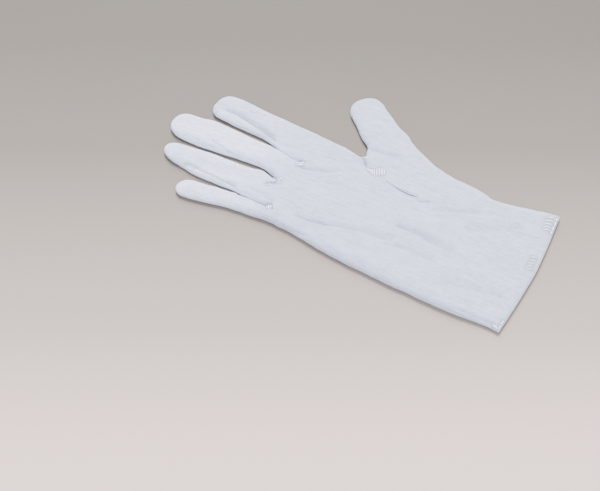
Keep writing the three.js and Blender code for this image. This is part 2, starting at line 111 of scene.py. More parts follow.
# where each fork starts, how wide its slit is there and further up, and between which heights
# over its start it widens
FORKS = [("fork_ring_little", -0.011, 0.6, 3.0, 16, 30),
         ("fork_middle_ring", 0.0375, 0.6, 4.2, 4, 18),
         ("fork_index_middle", -0.011, 0.4, 4.3, 15, 34)]
# share of the finger's length and width of the fork that shows on its near side
FORK_BANDS = [
    [(0.0, 0.5), (0.15, 0.9), (0.3, 1.4), (0.49, 2.1), (0.66, 3.0), (0.71, 3.0), (0.76, 1.4),
     (0.79, 0.4)],
    [(0.2, 0.3), (0.32, 0.9), (0.6, 1.1), (0.7, 0.8), (0.8, 0.3)],
    [(-0.01, 0.4), (0.04, 0.8), (0.18, 1.6), (0.3, 2.2), (0.42, 3.0), (0.53, 4.0), (0.65, 5.4),
     (0.76, 6.0), (0.86, 5.8), (0.93, 4.0)],
]
# depth of each fork's upper seam and how far the finger dips towards it
FORK_VALLEYS = [(0.7, 0.9), (0.25, 0.6), (1.9, 2.4)]
# height and size of the outline's slow waves, and the seed of each
WANDER = [(0.45, 11, 2.2), (0.22, 4, 5.1)]
# height and size of the upper side's soft bumps, and the seed of each
BUMPS = [(0.8, 17.0, 3.7), (0.4, 6.5, 9.1)]
# painted shade in creases: how dark they are for each millimetre of depth, the darkest that depth
# alone makes it, and what a thin line along a seam or beside a stitch adds
CREASE_DARK, CREASE_MOST, LINE_DARK = 0.42, 0.52, 0.42
# painted light: how much lighter than the palm each finger is drawn, for finger tops that face the
# light more
FINGER_LIGHT = {"little": 0.95, "ring": 0.8, "middle": 1.0, "index": 0.3}
# the sewing that shows: thread radius in metres, then the two ends of each stitch in the plan
SEWING = {
    "crotch_stitches": (0.00032, [
        (5.6, 152.6, 8.4, 148.8), (3.7, 151.2, 6.2, 147.8), (9.5, 151.8, 9.1, 149.0),
        (-9.8, 156.4, -11.6, 153.6), (-8.6, 155.6, -10.4, 153.2), (-14.4, 154.9, -13.2, 152.6),
        (-18.5, 159.5, -16.3, 155.5), (-31.3, 151.8, -34.0, 149.2), (-30.2, 150.9, -34.2, 148.5),
        (-30.4, 149.2, -33.8, 147.2)]),
    "thumb_stitches": (0.00031, [
        (23.3, 113.2, 20.8, 111.3), (23.1, 111.7, 20.0, 109.7), (23.5, 110.3, 19.1, 107.9),
        (23.8, 109.1, 19.0, 106.4), (24.7, 107.8, 19.7, 105.1), (25.8, 106.6, 20.6, 103.9),
        (26.6, 105.4, 21.6, 102.7), (27.2, 104.1, 22.9, 101.7)]),
    "corner_stitches": (0.0003, [(x + 1.7, 2.4, x, 6.0) for x in (29.2, 31.4, 33.9, 36.6, 39.5)]
        + [(x, 0.7, x + 3.2, 0.75) for x in (28.6, 32.2, 35.8, 39.4)]),
    "near_corner_stitches": (0.0003, [(-47.6, 0.7, -44.6, 0.7), (-44.0, 0.8, -41.0, 0.7),
                                      (-48.0, 1.4, -46.2, 2.8), (-47.4, 2.6, -46.0, 4.4)]),
    "hem_stitches": (0.00022, [(x + 1.4, 2.4, x, 5.6) for x in (-2.4, -0.2, 2.1, 4.4, 6.6)]),
}
THREAD_SIDES = 6
THREAD_END = 0.6     # thickness of a thread at its ends, as a share
STITCH_POINTS = 5
STITCH_RISE = 0.22   # how far a stitch bows up over the cloth
STITCH_SINK = 0.06   # and how far its ends lie in it
STITCH_PULL = 0.25   # how far it draws the cloth in
FORK_ROWS = 7        # rows of points down a fork's strip
FORK_SHEET = 0.5     # thickness of a fork's cloth
WEB_ROWS = 3         # rows of points across the web of cloth at the start of each slit
WEB_POINTS = 14      # and points along it
WEB_LENGTHS = (12, 3, 12)   # how far it reaches up each slit
FORK_SET_IN = 0.35   # how far a fork's strip lies inside the outline at its two seams
FORK_HOLLOW = 1.6    # and how much further in its middle
FIRST_BAND = 3       # parts that divide numbers: 0 hand, 1 thumb, 2 hem, then the forks' bands
HEM_WALL = 1.1       # thickness of the turned hem
SHARP = 50           # degrees between faces from which an edge is drawn sharp
WALE, COURSE = 0.95, 0.75   # distance between the knit's rows, across the glove and along it
FULL_TURN = 6.2832
# distances from the outline of the rows of points that follow it, on the upper side and below
TOP_RINGS, UNDER_RINGS = (0.25, 0.6, 1.1, 1.8, 2.7), (0.5, 1.2, 2.2)
# depth of the thumb's seam all along, and what is added beside its pleat and at the crotch
SEAM_ALONG, SEAM_AT_PLEAT, SEAM_AT_CROTCH = 0.16, 0.5, 2.1
PLEAT_LIFT, PLEAT_REACH = 0.7, 3.0
TABLE_TURN = -29.2   # degrees, so that the table's tones run away from the camera
TABLE_SPAN = (-0.21, 0.18)   # metres along that way, of the first and of the last tone
# share of the way between those two, then the table's colour there: painted light, lighter near the
# camera
TABLE_TONES = [(0.0, (0.419, 0.327, 0.311)), (0.08, (0.408, 0.312, 0.3)),
               (0.25, (0.252, 0.208, 0.188)), (0.6, (0.1175, 0.1005, 0.089)),
               (0.87, (0.08, 0.0693, 0.0603)), (1.0, (0.0735, 0.0637, 0.0555))]
# place in metres, size in metres, watts and colour
LIGHTS = {
    "key": ((1.9, 1.25, 2.9), 1.1, 460, (1.0, 0.99, 0.975)),
    "low_key": ((2.6, 1.7, 1.9), 1.2, 250, (1.0, 0.99, 0.975)),
    "fill": ((-1.6, -1.0, 1.3), 2.2, 109, (0.97, 0.98, 1.0)),
}
ROOM_COLOUR, ROOM_STRENGTH = (0.93, 0.95, 1.0, 1), 1.235
# in metres, then the lens and its sensor in millimetres
CAMERA_PLACE, CAMERA_AIM = (-0.3820, -0.1756, 0.4355), (-0.0631, 0.0027, 0.0)
CAMERA_LENS, CAMERA_SENSOR = 60, 36
# share of the palm's length, then the two edges as shares of half its width
PALM_ROWS = [(0, -1.035, .955), (.055, -1.03, .93), (.1, -1.035, .885), (.17, -1.045, .835),
             (.26, -1.045, .80), (.39, -1.03, .755), (.59, -1.0, .67), (.72, -.96, .63),
             (.79, -.92, .65), (.86, -.885, .71), (1, -.87, .75)]
# out, up, width and heading of the thumb's sections
THUMB_ROWS = [(.685, .262, .40, 0), (.635, .334, .735, 0), (.605, .45, .94, 9),
              (.69, .578, 1.08, 24), (.945, .713, 1.06, 37), (1.065, .74, .96, 38),
              (1.235, .803, .82, 38), (1.45, .88, .76, 37), (1.655, .955, .74, 37)]
# up, then how far out the seam lies on the palm side and on the back
THUMB_SEAM = [(.262, .83, .83), (.268, .78, .80), (.292, .61, .76), (.327, .48, .73),
              (.367, .40, .70), (.412, .345, .67), (.455, .31, .645), (.487, .268, .64),
              (.497, .272, .635), (.508, .335, .63), (.53, .322, .625), (.58, .33, .61),
              (.64, .385, .60), (.70, .45, .605), (.742, .495, .62), (.768, .575, .635),
              (.786, .655, .665)]


def hermite(rows, place, col):
    """A smooth value between a table's rows."""
    last = len(rows) - 1
    if place <= rows[0][0]:
        return rows[0][col]
    if place >= rows[last][0]:
        return rows[last][col]
    i = 0
    while place > rows[i + 1][0]:
        i += 1

    def slope(j):
        a, b = rows[max(0, j - 1)], rows[min(last, j + 1)]
        return (b[col] - a[col]) / (b[0] - a[0])

    span = rows[i + 1][0] - rows[i][0]
    t = (place - rows[i][0]) / span
    return (rows[i][col] * (2 * t**3 - 3 * t**2 + 1) + slope(i) * span * (t**3 - 2 * t**2 + t)
            + rows[i + 1][col] * (3 * t**2 - 2 * t**3) + slope(i + 1) * span * (t**3 - t**2))


def step(low, high, value):
    """A soft step from 0 at low to 1 at high."""
    t = np.clip((value - low) / (high - low), 0, 1)
    return t * t * (3 - 2 * t)


def finger_edges(k, y):
    f = FINGERS[k]
    at = (y - PALM_LENGTH) / f["length"]
    axis = f["root"] * HALF - math.tan(math.radians(f["lean"])) * (y - PALM_LENGTH)
    rows = FINGER_ROWS[f["name"]]
    return [axis - hermite(rows, at, 1) * f["width"], axis + hermite(rows, at, 2) * f["width"]]


def held_edges(k, y):
    """A finger's edges, held apart from its neighbours by the slits."""
    edges = finger_edges(k, y)
    for side in (0, 1):
        n = k + (-1 if side == 0 else 1)
        if 0 <= n < 4:
            theirs = finger_edges(n, y)[1 - side]
            gap = edges[0] - theirs if side == 0 else theirs - edges[1]
            _, beyond, narrow, wide, low, high = FORKS[min(k, n)]
            over = y - PALM_LENGTH * (1 + beyond)
            short = max(0, narrow + (wide - narrow) * step(low, high, over) - gap) / 2
            edges[side] += short if side == 0 else -short
    return edges


def palm_edges(y):
    at = y / PALM_LENGTH
    return [hermite(PALM_ROWS, at, 1) * HALF, hermite(PALM_ROWS, at, 2) * HALF]


def fork_start(i):
    return PALM_LENGTH * (1 + FORKS[i][1])


def bow(x, y):
    """The cuff line bows towards the wearer, most in its middle."""
    across = np.minimum(1, np.abs(x) / (HALF * 1.12))
    return y - 0.8 * CUFF_BOW * (1 - across**1.4) * (1 - step(0, CUFF_BOW_REACH, y))


# The outline, seen from above
def thumb_sections():
    """The points of the thumb's inner and outer edge, from its root to its tip."""
    last = len(THUMB_ROWS) - 1
    rows = [(i,) + r for i, r in enumerate(THUMB_ROWS)]
    a, b = THUMB_ROWS[last - 1], THUMB_ROWS[last]
    span = math.hypot((b[0] - a[0]) * HALF, (b[1] - a[1]) * PALM_LENGTH)
    start = last - THUMB_TIP / span
    inner, outer = [], []
    places = list(np.arange(0, start, 0.1))
    places += [start + (last - start) * math.sin(math.pi / 2 * t) for t in np.linspace(0, 1, 16)]
    for p in places:
        e = max(0.0, (p - start) / (last - start))
        narrow = (1 - min(1.0, e) ** TIP_POWER) ** (1 / TIP_POWER)
        turn = math.radians(hermite(rows, p, 4))
        cx, cy = hermite(rows, p, 1) * HALF, hermite(rows, p, 2) * PALM_LENGTH
        half = hermite(rows, p, 3) * THUMB_WIDTH / 2 * narrow
        inner.append((cx - math.cos(turn) * half, cy + math.sin(turn) * half))
        outer.append((cx + math.cos(turn) * half, cy - math.sin(turn) * half))
    return inner, outer


def finger_side(k, side, low):
    """The points of one edge of a finger, from low up to its tip."""
    f = FINGERS[k]
    tip = PALM_LENGTH + f["length"]
    turn = f["round"] * f["width"]
    points = [(held_edges(k, y)[side], y) for y in np.arange(low, tip - turn, STEP_LINE)]
    for t in np.linspace(0, 1, 16):
        e = math.sin(math.pi / 2 * t)
        edges = held_edges(k, tip - turn + turn * e)
        middle, half = (edges[0] + edges[1]) / 2, (edges[1] - edges[0]) / 2
        half *= (1 - e**TIP_POWER) ** (1 / TIP_POWER)
        points.append((middle + (half if side else -half), tip - turn + turn * e))
    return points


def build_outline():
    """The closed outline, from the little finger's side of the cuff round to it again."""
    points = []
    for y in np.arange(0, ROOT_LOW, STEP_LINE):
        points.append((palm_edges(y)[0], y))
    for y in np.arange(ROOT_LOW, ROOT_HIGH, STEP_LINE):
        mix = step(ROOT_LOW, ROOT_HIGH, y)
        points.append((palm_edges(y)[0] * (1 - mix) + held_edges(0, y)[0] * mix, y))
    for k in range(4):
        low = ROOT_HIGH if k == 0 else fork_start(k - 1)
        left = finger_side(k, 0, low)
        high = ROOT_HIGH if k == 3 else fork_start(k)
        right = finger_side(k, 1, high)[::-1]
        points += left + right[1:]
        if k < 3:
            x0 = held_edges(k, high)[1]
            x1 = held_edges(k + 1, high)[0]
            for t in np.linspace(0, math.pi, 7)[1:-1]:
                points.append(((x0 + x1) / 2 - (x1 - x0) / 2 * math.cos(t),
                               high - (x1 - x0) / 2 * math.sin(t)))
    inner, outer = thumb_sections()
    for y in np.arange(ROOT_HIGH, ROOT_LOW, -STEP_LINE):
        mix = step(ROOT_LOW, ROOT_HIGH, y)
        points.append((palm_edges(y)[1] * (1 - mix) + held_edges(3, y)[1] * mix, y))
    for y in np.arange(ROOT_LOW, THUMB_CROTCH_UP, -STEP_LINE):
        points.append((palm_edges(y)[1], y))
    points += [(x + NOTCH * (1 - step(121.5, 129, y)), y) for x, y in inner
               if x > palm_edges(y)[1] + 0.9 and y > 100]
    points += [p for p in outer[::-1] if p[0] > palm_edges(p[1])[1] + 0.2]
    lowest = points[-1][1]
    for y in np.arange(lowest - 1.0, 0, -STEP_LINE):
        points.append((palm_edges(y)[1], y))
    right, left = palm_edges(0)[1], palm_edges(0)[0]
    points += [(x, 0.0) for x in np.arange(right, left, -0.9)]
    return np.array(points)


def resample(points, spacing, closed=True):
    p = np.vstack([points, points[:1]]) if closed else np.asarray(points)
    length = np.r_[0, np.cumsum(np.linalg.norm(np.diff(p, axis=0), axis=1))]
    count = max(3, int(round(length[-1] / spacing)))
    at = np.linspace(0, length[-1], count, endpoint=not closed)
    return np.stack([np.interp(at, length, p[:, 0]), np.interp(at, length, p[:, 1])], 1)


def smooth_line(points, rounds, closed=True, keep=None):
    p = points.copy()
    for _ in range(rounds):
        a, b = np.roll(p, 1, 0), np.roll(p, -1, 0)
        q = (a + 2 * p + b) / 4
        if not closed:
            q[0], q[-1] = p[0], p[-1]
        if keep is not None:
            q[keep] = p[keep]
        p = q
    return p


OUTLINE = resample(build_outline(), STEP_LINE)
cuff_points = OUTLINE[:, 1] < 0.8
OUTLINE = smooth_line(OUTLINE, 3, keep=cuff_points)
TANGENT = np.roll(OUTLINE, -1, 0) - np.roll(OUTLINE, 1, 0)
TANGENT /= np.linalg.norm(TANGENT, axis=1)[:, None]
INWARD = np.stack([TANGENT[:, 1], -TANGENT[:, 0]], 1)
# soft cloth has no straight edge: the outline wanders a little
wander = np.array([sum(height * noise.noise(Vector((x / size, y / size, seed)))
                       for height, size, seed in WANDER) for x, y in OUTLINE])
OUTLINE += INWARD * (wander * step(0.5, 6.0, OUTLINE[:, 1]))[:, None]


def inside(points, polygon):
    """Which points lie in a closed polygon."""
    x, y = points[:, 0][:, None], points[:, 1][:, None]
    ax, ay = polygon[:, 0], polygon[:, 1]
    bx, by = np.roll(ax, -1), np.roll(ay, -1)
    hit = np.zeros(len(points), bool)
    for s in range(0, len(points), 4000):
        e = s + 4000
        crosses = (ay > y[s:e]) != (by > y[s:e])
        with np.errstate(divide="ignore", invalid="ignore"):
            at = ax + (y[s:e] - ay) * (bx - ax) / (by - ay)
        hit[s:e] = (np.sum(crosses & (x[s:e] < at), axis=1) % 2) == 1
    return hit


def near_line(points, line, closed=True):
    """Distance to a line of points, and the nearest place along it, counted in points."""
    a = line
    b = np.roll(line, -1, 0)
    if not closed:
        a, b = line[:-1], line[1:]
    d = b - a
    size = np.maximum(1e-9, (d**2).sum(1))
    best = np.empty(len(points))
    which = np.empty(len(points))
    for s in range(0, len(points), 3000):
        p = points[s:s + 3000][:, None, :]
        t = np.clip(((p - a) * d).sum(2) / size, 0, 1)
        away = ((p - a - t[..., None] * d) ** 2).sum(2)
        i = away.argmin(1)
        which[s:s + 3000] = i + t[np.arange(len(i)), i]
        best[s:s + 3000] = np.sqrt(away.min(1))
    return best, which


def soft_distance(points, line, reach):
    """Distance to the outline that rounds off along the middle of a finger."""
    gap = np.linalg.norm(np.roll(line, -1, 0) - line, axis=1)
    total = np.empty(len(points))
    for s in range(0, len(points), 3000):
        p = points[s:s + 3000][:, None, :]
        away = ((p - line) ** 2).sum(2)
        total[s:s + 3000] = (np.exp(-away / (2 * reach**2)) * gap).sum(1)
    full = math.sqrt(2 * math.pi) * reach
    return reach * np.sqrt(-2 * np.log(np.clip(total / full, 1e-12, 0.999)))


def edge_heights():
    """How high the edges of the two sides are along the outline, and which fork lies there."""
    high = np.full(len(OUTLINE), EDGE)
    low = np.full(len(OUTLINE), EDGE)
    tags = np.full(len(OUTLINE), -1)
    for i in range(3):
        start = fork_start(i)
        for k, side in ((i, 1), (i + 1, 0)):
            f = FINGERS[k]
            end = PALM_LENGTH + f["length"] * 0.93
            for j, (x, y) in enumerate(OUTLINE):
                if start - 1.2 <= y <= end:
                    edges = held_edges(k, max(y, start))
                    middle = (edges[0] + edges[1]) / 2
                    mine = (x > middle) if side else (x < middle)
                    if mine and edges[0] - 1.5 < x < edges[1] + 1.5:
                        grow = 1 - step(end - 16, end, y)
                        seam = SEAM_FAR if side else SEAM_NEAR
                        high[j] = EDGE + (seam - EDGE) * grow
                        low[j] = EDGE + (SEAM_LOW - EDGE) * grow
                        tags[j] = i
    return high, low, tags


EDGE_HIGH, EDGE_LOW, EDGE_TAG = edge_heights()


def along(values, place):
    return np.interp(place, np.arange(len(values) + 1), np.r_[values, values[:1]])


# Folds and creases of the cloth
# The rows give two ends in the plan, the depth, and half widths on the left and on the right. A
# depth below nothing is a raised ridge.
FOLDS = [
    (22, 221.8, 27, 223.2, 0.35, 0.6, 0.6), (27, 223.2, 31.5, 221.8, 0.35, 0.6, 0.6),
    (-2.6, 208, -5.6, 190, 0.4, 0.45, 0.8), (-5.6, 190, -8.0, 172, 0.5, 0.45, 0.9),
    (-22, 205, -17, 180, 0.3, 3.0, 2.0), (-27.0, 196, -25.5, 175, -0.3, 2.0, 2.0),
    (-17.3, 160.1, -14.6, 155.9, 0.9, 0.5, 0.5), (-14.6, 155.9, -11.8, 154.4, 1.1, 0.5, 0.5),
    (3.4, 147.2, 4.8, 141, 0.7, 0.5, 1.3), (4.8, 141, 6.3, 135, 0.5, 0.6, 1.6),
    (6.3, 135, 10, 128, 0.35, 0.8, 2.0), (0.9, 146, 2.6, 134, -0.3, 1.2, 1.2),
    (-31.7, 131, -30.8, 123, 0.7, 0.5, 1.4), (-30.8, 123, -29.3, 114, 0.75, 0.5, 1.6),
    (-29.3, 114, -26.4, 102.6, 0.6, 0.8, 2.2), (-26.4, 102.6, -23.5, 91.3, 0.5, 1.1, 2.4),
    (-23.5, 91.3, -21.9, 76, 0.55, 1.5, 3.0),
    (-10.5, 76, -9.9, 68, 0.8, 1.0, 2.6), (-9.9, 68, -11.0, 56, 0.8, 1.4, 3.4),
    (-11.0, 56, -12.3, 43.7, 0.55, 1.8, 4.0),
    (-24.5, 71, -23.4, 62, 0.5, 1.4, 3.4), (-23.4, 62, -23.9, 50, 0.4, 1.8, 3.6),
    (12.5, 62, 21.6, 41, 0.5, 1.5, 2.5),
    (38.7, 118.5, 39.4, 102.6, 0.6, 1.0, 2.2), (26, 124, 24, 112, 0.35, 2.0, 2.5),
    (7, 42, 21, 17, 0.35, 2.6, 4.0), (-34, 38, -27, 10, 0.35, 2.4, 3.4),
    (8, 60, 12, 48, 0.3, 2.0, 3.0), (-41.3, 147, -41.7, 121, 0.4, 0.5, 0.9),
    (-30.0, 149.0, -33.2, 146.9, 0.8, 0.35, 0.35), (-28.8, 214.8, -26.6, 210, 0.8, 0.45, 0.5),
    (-26.6, 210, -27.0, 204, 0.7, 0.45, 0.5), (13.0, 74.2, 15.2, 69.2, 0.4, 0.5, 0.8),
    (-46.6, 6, -46.9, 22, 0.4, 0.5, 0.8),
]


def folds(x, y):
    """How deep the folds are at each place."""
    total, raised = np.zeros(len(x)), np.zeros(len(x))
    for ax, ay, bx, by, depth, left, right in FOLDS:
        dx, dy = bx - ax, by - ay
        size = math.hypot(dx, dy)
        t = ((x - ax) * dx + (y - ay) * dy) / size**2
        aside = ((x - ax) * dy - (y - ay) * dx) / size * (1 if dy > 0 else -1)
        past = np.maximum(0, np.maximum(-t, t - 1)) * size
        wide = np.where(aside < 0, left, right)
        shape = depth * np.exp(-(aside / wide) ** 2) * np.exp(-(past / 2.2) ** 2)
        if depth > 0:
            total = np.maximum(total, shape)
        else:
            raised = np.minimum(raised, shape)
    return FOLD_GAIN * (total + raised)


def ripple(x, y, seed, size):
    """Soft unevenness of the cloth."""
    out = np.empty(len(x))
    for i in range(len(x)):
        out[i] = noise.noise(Vector((x[i] / size, y[i] / (size * 1.9), seed)))
    return out


def top_height(points):
    """Height of the upper side at each place, and the distance from the outline."""
    x, y = points[:, 0], points[:, 1]
    d, near = near_line(points, OUTLINE)
    far = soft_distance(points, OUTLINE, 3.4)
    d = d + (far - d) * step(1.5, 5.5, d)
    edge = along(EDGE_HIGH, near)
    forky = np.clip((edge - EDGE) / (SEAM_NEAR - EDGE), 0, 1)
    crown = np.full(len(x), CROWN)
    cuff = 1 - step(-6, 30, y)
    crown -= CUFF_DROP * cuff
    for k, f in enumerate(FINGERS):
        amount = step(PALM_LENGTH - 6, PALM_LENGTH + 12, y)
        axis = f["root"] * HALF - math.tan(math.radians(f["lean"])) * (y - PALM_LENGTH)
        mine = amount * (np.abs(x - axis) < f["width"] * 0.66)
        crown += mine * (f["height"] - CROWN)
    t = np.clip(d / (ROLL - ROLL_LESS * step(PALM_LENGTH, PALM_LENGTH + 20, y)), 0, 1)
    z = edge + (crown - edge) * (1 - (1 - t) ** 2.0) ** 0.5
    z -= FORK_DIP * np.exp(-((d - 0.2) / 0.7) ** 2) * forky
    inner = step(1.0, 5.0, d)
    z -= folds(x, y) * step(0, 0.9, d)
    for height, size, seed in BUMPS:
        z += inner * height * ripple(x, y, seed, size)
    return z, d


def sewn():
    """The ends of all stitches."""
    return [stitch_ends for _, strokes in SEWING.values() for stitch_ends in strokes]


def beside(points, ends):
    """Distance from the middle line of a stitch with these two ends."""
    a, b = np.array(ends[:2]), np.array(ends[2:])
    t = np.clip(((points - a) @ (b - a)) / ((b - a) @ (b - a)), 0, 1)
    return np.linalg.norm(points - a - t[:, None] * (b - a), axis=1)


def fold_points():
    """Close rows of points along the folds and stitches, for crisp creases."""
    rows = []
    for ax, ay, bx, by in sewn():
        size = math.hypot(bx - ax, by - ay)
        t = np.linspace(-0.1, 1.1, int(size / 0.45) + 2)
        for aside in (-0.75, -0.4, 0.0, 0.4, 0.75):
            rows.append(np.stack([ax + (bx - ax) * t + (by - ay) / size * aside,
                                  ay + (by - ay) * t - (bx - ax) / size * aside], 1))
    for ax, ay, bx, by, _, left, right in FOLDS:
        if min(left, right) < 1.0:
            size = math.hypot(bx - ax, by - ay)
            t = (np.arange(int(size / 0.8)) + 0.5) / int(size / 0.8)
            for aside in (-1.0, -0.5, 0.0, 0.5, 1.0):
                rows.append(np.stack([ax + (bx - ax) * t + (by - ay) / size * aside,
                                      ay + (by - ay) * t - (bx - ax) / size * aside], 1))
    return np.vstack(rows)


def under_height(points):
    """Height of the underside at each place, and the distance from the outline."""
    d, near = near_line(points, OUTLINE)
    edge = along(EDGE_LOW, near)
    t = np.clip(d / 3.4, 0, 1)
    return edge * (1 - (1 - (1 - t) ** 2.4) ** (1 / 2.4)), d


def settle(points, z):
    """From the plan to the frame, in metres."""
    x, y = points[:, 0], points[:, 1]
    return np.stack([x - OX, bow(x, y) - OY, z], 1) / 1000


# The seams that divide the sheets
def nearest(point):
    return int(((OUTLINE - point) ** 2).sum(1).argmin())


CROTCH = nearest(THUMB_CROTCH_POINT)
HEEL = nearest(THUMB_HEEL_POINT)
HEM_LEFT = nearest((palm_edges(HEM_WIDTH)[0], HEM_WIDTH))
HEM_RIGHT = nearest((palm_edges(HEM_WIDTH)[1], HEM_WIDTH))


def thumb_seam(col):
    """The seam that sets the thumb into the palm, from heel to crotch."""
    line = [tuple(OUTLINE[HEEL])]
    for up in np.arange(.268, .782, .008):
        line.append((hermite(THUMB_SEAM, up, col) * HALF, up * PALM_LENGTH))
    line.append(tuple(OUTLINE[CROTCH]))
    return smooth_line(resample(np.array(line), STEP_LINE, closed=False), 3, closed=False)


SEAM_TOP, SEAM_UNDER = thumb_seam(1), thumb_seam(2)
HEM_LINE = resample(np.array([OUTLINE[HEM_LEFT], OUTLINE[HEM_RIGHT]]), STEP_LINE, closed=False)


def fork_seam(i):
    """The upper seam of a fork on the finger above it: its outline run and its line."""
    finger, rows = FINGERS[i + 1], FORK_BANDS[i]
    run = []
    for j in np.where(EDGE_TAG == i)[0]:
        x, y = OUTLINE[j]
        edges = held_edges(i + 1, max(y, fork_start(i)))
        at = (y - PALM_LENGTH) / finger["length"]
        if rows[0][0] <= at <= rows[-1][0] and x < (edges[0] + edges[1]) / 2 and x > edges[0] - 1.5:
            run.append(j)
    width = np.array([hermite(rows, (OUTLINE[j][1] - PALM_LENGTH) / finger["length"], 1)
                      for j in run])
    return run, smooth_line(OUTLINE[run] + INWARD[run] * width[:, None], 4, closed=False)


FORK_SEAMS = [fork_seam(i) for i in range(3)]


def divide(seam, spacing, rings, dense):
    """Triangles over the whole outline, split along the seams and the hem."""
    points = [OUTLINE]
    count = len(OUTLINE)
    edges = [(i, (i + 1) % count) for i in range(count)]
    first = [HEEL, HEM_LEFT]
    last = [CROTCH, HEM_RIGHT]
    lines = [seam, HEM_LINE]
    if len(dense):
        for run, line in FORK_SEAMS:
            first.append(run[0])
            last.append(run[-1])
            lines.append(line)
    total = count
    for line, a, b in zip(lines, first, last):
        middle = line[1:-1]
        chain = [a] + list(range(total, total + len(middle))) + [b]
        edges += list(zip(chain[:-1], chain[1:]))
        points.append(middle)
        total += len(middle)
    inner = []
    for ring in rings:
        moved = OUTLINE + INWARD * ring
        d, _ = near_line(moved, OUTLINE)
        inner.append(moved[(d > ring * 0.92) & inside(moved, OUTLINE)])
    low, high = OUTLINE.min(0), OUTLINE.max(0)
    grid = []
    for r in range(int((high[1] - low[1]) / (spacing * 0.866)) + 1):
        y = low[1] + r * spacing * 0.866
        xs = np.arange(low[0], high[0], spacing) + (r % 2) * spacing / 2
        grid.append(np.stack([xs, np.full(len(xs), y)], 1))
    grid = np.vstack(grid)
    grid = grid[inside(grid, OUTLINE)]
    d, _ = near_line(grid, OUTLINE)
    grid = grid[d > rings[-1] + spacing * 0.5]
    if len(dense):
        d, _ = near_line(dense, OUTLINE)
        dense = dense[inside(dense, OUTLINE) & (d > 0.4)]
        single = []
        for p in dense:
            if not single or ((np.array(single) - p) ** 2).sum(1).min() > 0.06:
                single.append(p)
        dense = np.array(single)
        grid = np.array([p for p in grid if ((dense - p) ** 2).sum(1).min() > 0.36])
        inner = [np.array([p for p in ring if ((dense - p) ** 2).sum(1).min() > 0.16])
                 for ring in inner]
        inner.append(dense)
    inner = np.vstack(inner + [grid])
    for line in lines:
        d, _ = near_line(inner, line, closed=False)
        inner = inner[d > 0.42]
    everything = np.vstack(points + [inner])
    verts, _, faces, _, _, _ = delaunay_2d_cdt([Vector(p) for p in everything], edges, [], 0, 1e-5)
    verts = np.array([tuple(v) for v in verts])
    faces = np.array([tuple(f) for f in faces if len(f) == 3])
    centre = verts[faces].mean(1)
    keep = inside(centre, OUTLINE)
    faces, centre = faces[keep], centre[keep]
    thumb_ring = np.vstack([OUTLINE[CROTCH:HEEL + 1], seam[1:-1]])
    part = np.zeros(len(faces), int)
    part[inside(centre, thumb_ring)] = 1
    hem_y = np.interp(centre[:, 0], HEM_LINE[:, 0], HEM_LINE[:, 1])
    part[centre[:, 1] < hem_y] = 2
    if len(dense):
        for i, (run, line) in enumerate(FORK_SEAMS):
            part[inside(centre, band_ring(run, line))] = FIRST_BAND + i
    return verts, faces, part


def band_ring(run, line):
    return np.vstack([OUTLINE[run], line[-2:0:-1]])


def turned(verts, faces, up):
    """The faces, all with their fronts up or all down."""
    a, b, c = verts[faces[:, 0]], verts[faces[:, 1]], verts[faces[:, 2]]
    cross = (b[:, 0] - a[:, 0]) * (c[:, 1] - a[:, 1]) - (b[:, 1] - a[:, 1]) * (c[:, 0] - a[:, 0])
    flip = (cross < 0) if up else (cross > 0)
    faces = faces.copy()
    faces[flip] = faces[flip][:, ::-1]
    return faces


def make_object(name, verts, faces, material, smooth=True, **marks):
    mesh = bpy.data.meshes.new(name)
    mesh.from_pydata([tuple(v) for v in verts], [], [tuple(int(i) for i in f) for f in faces])
    for mark, values in marks.items():
        mesh.attributes.new(mark, "FLOAT", "POINT").data.foreach_set("value", values)
    mesh.validate()
    if smooth:
        mesh.shade_smooth()
    obj = bpy.data.objects.new(name, mesh)
    bpy.context.scene.collection.objects.link(obj)
    mesh.materials.append(material)
    return obj


def apply_modifiers(obj):
    """Turns the object's modifiers into plain mesh."""
    graph = bpy.context.evaluated_depsgraph_get()
    mesh = bpy.data.meshes.new_from_object(obj.evaluated_get(graph))
    mesh.set_sharp_from_angle(angle=math.radians(SHARP))
    obj.modifiers.clear()
    obj.data = mesh


def thicken(obj, thickness):
    """Joins the two sides along the outline and gives the sheet its wall."""
    weld = obj.modifiers.new("weld", "WELD")
    weld.merge_threshold = 0.00003
    solid = obj.modifiers.new("solid", "SOLIDIFY")
    solid.thickness = thickness / 1000
    solid.offset = -1
    solid.use_rim = True
    apply_modifiers(obj)


# Materials
def new_material(name):
    material = bpy.data.materials.new(name)
    material.use_nodes = True
    tree = material.node_tree
    tree.nodes.clear()
    out = tree.nodes.new("ShaderNodeOutputMaterial")
    shader = tree.nodes.new("ShaderNodeBsdfPrincipled")
    tree.links.new(shader.outputs[0], out.inputs[0])
    return material, tree, shader


